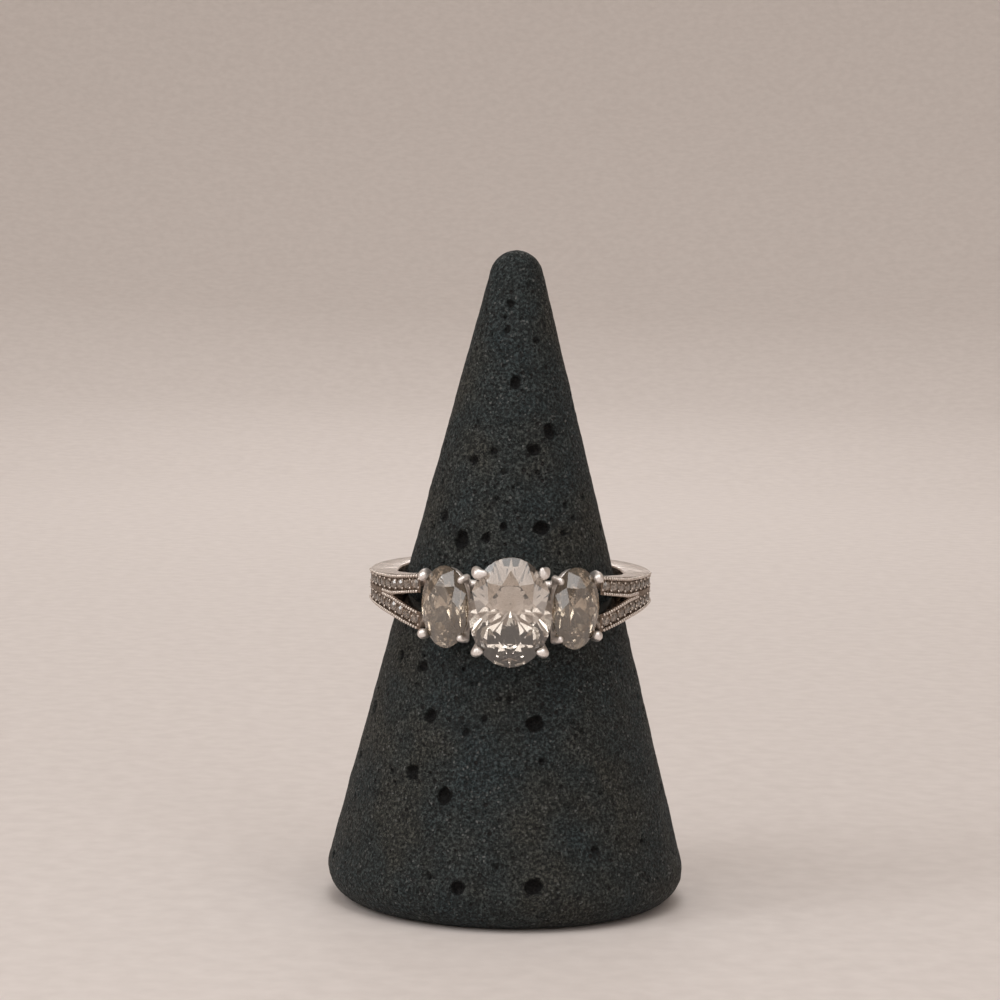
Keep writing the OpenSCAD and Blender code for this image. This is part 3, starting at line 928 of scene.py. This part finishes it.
for t in (-1, 1):
    oval = bmesh.ops.create_circle(
        head, cap_ends=False, segments=WIRE_SIDES, radius=1 / 2, matrix=turned(90, "Y"))["verts"]
    bmesh.ops.scale(head, vec=(1, WIRE_T, WIRE_H), verts=oval)
    bmesh.ops.translate(head, vec=(0, -wire_r - WIRE_T / 2, t * wire_z), verts=oval)
    bmesh.ops.rotate(head, cent=(0, 0, 0), matrix=turned(-WIRE_REACH, "Z"), verts=oval)
    bmesh.ops.spin(
        head, geom=edges_of(oval), cent=(0, 0, 0), axis=(0, 0, 1), angle=math.radians(2 * WIRE_REACH),
        steps=WIRE_STEPS, use_merge=False, use_duplicate=False)
open_ends = [edge for edge in head.edges if edge.is_boundary]
bmesh.ops.holes_fill(head, edges=open_ends, sides=0)
print("faces with the wires:", len(head.faces))

# %% Rails
RAIL_T = 0.45
RAIL_W = 0.6
RAIL_INSET = 0.2
RAIL_DEPTH = 0.3
RAIL_SIDES = 48


def rail(bm, stone, size):
    """An oval rail under a stone: four loops, bridged all round"""
    drop = size.z / 2 + PAVILION_SHARE * size.x * RAIL_DEPTH
    loops = []
    for inset, z in ((0, 0.5), (0, -0.5), (RAIL_W, -0.5), (RAIL_W, 0.5)):
        loop = bmesh.ops.create_circle(bm, cap_ends=False, segments=RAIL_SIDES, radius=1)["verts"]
        half = (size.x / 2 - RAIL_INSET - inset, size.y / 2 - RAIL_INSET - inset, 1)
        bmesh.ops.scale(bm, vec=half, verts=loop)
        bmesh.ops.translate(bm, vec=(0, 0, z * RAIL_T - drop), verts=loop)
        bmesh.ops.transform(bm, matrix=stone, verts=loop)
        loops.append(edges_of(loop))
    for loop, next_loop in zip(loops, loops[1:] + loops[:1]):
        bmesh.ops.bridge_loops(bm, edges=loop + next_loop)


for stone, size in LARGE_STONES.values():
    rail(head, stone, size)
bmesh.ops.recalc_face_normals(head, faces=head.faces)
print("head before it melts:", len(head.faces), "faces")

# %% Melt the head into one casting and cut the seats of the stones
HEAD_VOXEL = 0.065
HEAD_CREASE = 40
SMOOTHINGS = 3
run_modifier(head, "REMESH", mode="VOXEL", voxel_size=HEAD_VOXEL)
print("open edges of the head:", open_edges(head))
for _ in range(SMOOTHINGS):
    bmesh.ops.smooth_vert(
        head, verts=head.verts, factor=0.5, use_axis_x=True, use_axis_y=True, use_axis_z=True)


def stone_cutter(node, stone, size):
    """A copy of a stone in the ring's frame, larger by the gap all round"""
    bm = bmesh.new()
    bm.from_mesh(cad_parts[node].data)
    bmesh.ops.transform(bm, matrix=(ON_STAND @ stone).inverted(), verts=bm.verts)
    bmesh.ops.remove_doubles(bm, verts=bm.verts, dist=MERGE)
    depth = size.z + (CROWN_SHARE + PAVILION_SHARE) * size.x
    grow = [(value + 2 * STONE_GAP) / value for value in (size.x, size.y, depth)]
    bmesh.ops.scale(bm, vec=grow, verts=bm.verts)
    bmesh.ops.transform(bm, matrix=stone, verts=bm.verts)
    return bm


for node, (stone, size) in LARGE_STONES.items():
    cut_away(head, stone_cutter(node, stone, size))
make_piece("ring_head", head, ON_STAND, "ring_mount", [lit_claw_plating], HEAD_CREASE)

# %% [markdown]
# ## Beads
# A knurling wheel rolls a row of tiny beads along each rim, and between two small stones the setter raises
# four grains that hold them. A bump pattern would do from afar, but beads show in the ring's outline. There
# are hundreds, so each is a ball of a few dozen faces.

# %% Beaded rims
BEAD_PITCH = 0.29
PITCH_ANGLE = 60
FIRST_BEAD = 1.5
# Radius of a bead, which follows the width of its rim, and how deep it sits, as a share of the radius
LEAST_BEAD_R = 0.09
MOST_BEAD_R = 0.13
BEAD_OF_RIM = 0.55
BEAD_SUNK = 0.1
BALL_SIDES = 8
BALL_RINGS = 5


def balls(places):
    """A bmesh with a ball at each place, given as a centre and a radius"""
    part = bmesh.new()
    bmesh.ops.create_uvsphere(part, u_segments=BALL_SIDES, v_segments=BALL_RINGS, radius=1)
    ball = bpy.data.meshes.new("ball")
    part.to_mesh(ball)
    part.free()
    bm = bmesh.new()
    for centre, radius in places:
        copy = ball.copy()
        copy.transform(Matrix.Translation(centre) @ Matrix.Scale(radius, 4))
        bm.from_mesh(copy)
        bpy.data.meshes.remove(copy)
    bpy.data.meshes.remove(ball)
    return bm


bead_step = math.degrees(BEAD_PITCH / outer_r(PITCH_ANGLE))
bead_count = int((ROW_END - HEAD_ANGLE) / bead_step) - 1
rim_beads = []
for k in range(bead_count):
    a = HEAD_ANGLE + bead_step * (k + FIRST_BEAD)
    width = (half_h(a) - half_split(a)) / 2 - channel_half
    radius = min(MOST_BEAD_R, max(LEAST_BEAD_R, width * BEAD_OF_RIM))
    r = outer_r(a) - radius * BEAD_SUNK
    heights = [half_h(a) - max(width / 2, radius)]
    # The rims that face each other carry beads only where both rows have room
    if half_split(a) + width / 2 > radius:
        heights.append(half_split(a) + width / 2)
    for s in (-1, 1):
        rim_beads += [(round_point(s * a, r, t * z), radius) for z in heights for t in (-1, 1)]
make_piece("beaded_rims", balls(rim_beads), ON_STAND, "ring_mount", [polished])

# %% Grains between the small stones
GRAIN_R = 0.11
GRAIN_OFF = 0.31
grains = []
for k in range(row_count + 1):
    a = ROW_START + row_pitch * k
    r = outer_r(a) - CHANNEL_DEPTH + GRAIN_R / 2
    grains += [
        (round_point(s * a, r, t * (row_z(a) + off)), GRAIN_R)
        for s in (-1, 1) for t in (-1, 1) for off in (-GRAIN_OFF, GRAIN_OFF)]
make_piece("stone_grains", balls(grains), ON_STAND, "ring_mount", [polished])

# %% [markdown]
# ## Floor and light
# The floor is plain and pale and curves up far away, so that no edge shows behind the cone. A bright world
# alone would light everything evenly, and facets would have nothing to mirror. So large soft lamps stand
# round the object, as in a photographer's tent, one of them behind it. Another lights the backdrop, and a dim
# warm world fills the rest.

# %% Floor
floor_finish, shader = new_finish("pale_floor", Roughness=0.9)
mottle = clouds(floor_finish, in_millimetres(floor_finish), Scale=0.5, Detail=2)
tint = ramp(floor_finish, mottle, (0.3, (0.70, 0.64, 0.61)), (0.7, (0.75, 0.69, 0.66)))
connect(floor_finish, shader, Base_Color=tint)
FLOOR_R = 350
WALL_R = 900
WALL_H = 1100
BEND_STEP = 10
FLOOR_STEPS = 96
bend = WALL_R - FLOOR_R
profile = [Vector((0, 0, 0)), Vector((FLOOR_R, 0, 0))]
for angle in range(BEND_STEP, 90 + 1, BEND_STEP):
    profile.append(Vector((FLOOR_R + bend * sin(angle), 0, bend * (1 - cos(angle)))))
profile.append(Vector((WALL_R, 0, WALL_H)))
sweep = bmesh.new()
verts = [sweep.verts.new(point) for point in profile]
edges = [sweep.edges.new(pair) for pair in zip(verts, verts[1:])]
bmesh.ops.spin(
    sweep, geom=edges, cent=(0, 0, 0), axis=(0, 0, 1), angle=math.tau, steps=FLOOR_STEPS,
    use_merge=True, use_duplicate=False)
bmesh.ops.remove_doubles(sweep, verts=sweep.verts, dist=MERGE)
bmesh.ops.transform(sweep, matrix=TO_METRES, verts=sweep.verts)
bmesh.ops.recalc_face_normals(sweep, faces=sweep.faces)
mesh = bpy.data.meshes.new("pale_floor")
sweep.to_mesh(mesh)
sweep.free()
mesh.materials.append(floor_finish)
mesh.shade_smooth()
floor = bpy.data.objects.new("pale_floor", mesh)
bpy.context.scene.collection.objects.link(floor)
print("floor:", len(mesh.polygons), "faces")

# %% Lamps
AIM = Vector((0, 0, 24))
LAMP_AWAY = 450
LAMP_SIZE = 150
# Degrees from the front and above the horizontal, and power in watts
LAMPS = {
    "low_front": (0, 8, 0.1),
    "low_left": (-60, 8, 0.06),
    "low_right": (60, 8, 0.06),
    "key": (-60, 25, 0.32),
    "front_left": (-30, 25, 0.12),
    "front_right": (30, 25, 0.12),
    "far_left": (-70, 45, 0.18),
    "high_left": (-35, 45, 0.1),
    "high_front": (0, 45, 0.03),
    "high_right": (35, 45, 0.09),
    "top_front": (0, 65, 0.3),
    "top_right": (60, 65, 0.12),
    "top": (0, 88, 0.12),
    "high_back": (180, 28, 0.2),
}
BACKDROP_AT = Vector((0, 250, 420))
BACKDROP_AIM = Vector((0, 700, 60))
BACKDROP_SIZE = 2 * LAMP_SIZE
BACKDROP_POWER = 0.5


def add_lamp(name, at, aim, size, power):
    """A square soft lamp. Its -Z points at the aim"""
    lamp = bpy.data.lights.new(name, "AREA")
    lamp.size = size * MM
    lamp.energy = power
    holder = bpy.data.objects.new(name, lamp)
    holder.location = at * MM
    holder.rotation_mode = "QUATERNION"
    holder.rotation_quaternion = (at - aim).to_track_quat("Z", "Y")
    bpy.context.scene.collection.objects.link(holder)


for name, (azimuth, elevation, power) in LAMPS.items():
    away = Vector((sin(azimuth) * cos(elevation), -cos(azimuth) * cos(elevation), sin(elevation)))
    add_lamp(name, AIM + away * LAMP_AWAY, AIM, LAMP_SIZE, power)
add_lamp("backdrop", BACKDROP_AT, BACKDROP_AIM, BACKDROP_SIZE, BACKDROP_POWER)
print("lamps:", len(LAMPS) + 1)

# %% World
WORLD_COLOUR = (1.0, 0.89, 0.77)
WORLD_STRENGTH = 0.42
world = bpy.data.worlds.new("soft_world")
world.use_nodes = True
background = world.node_tree.nodes["Background"]
background.inputs["Color"].default_value = (*WORLD_COLOUR, 1)
background.inputs["Strength"].default_value = WORLD_STRENGTH
bpy.context.scene.world = world
bpy.context.scene.view_settings.view_transform = "Standard"
print("world strength:", WORLD_STRENGTH)
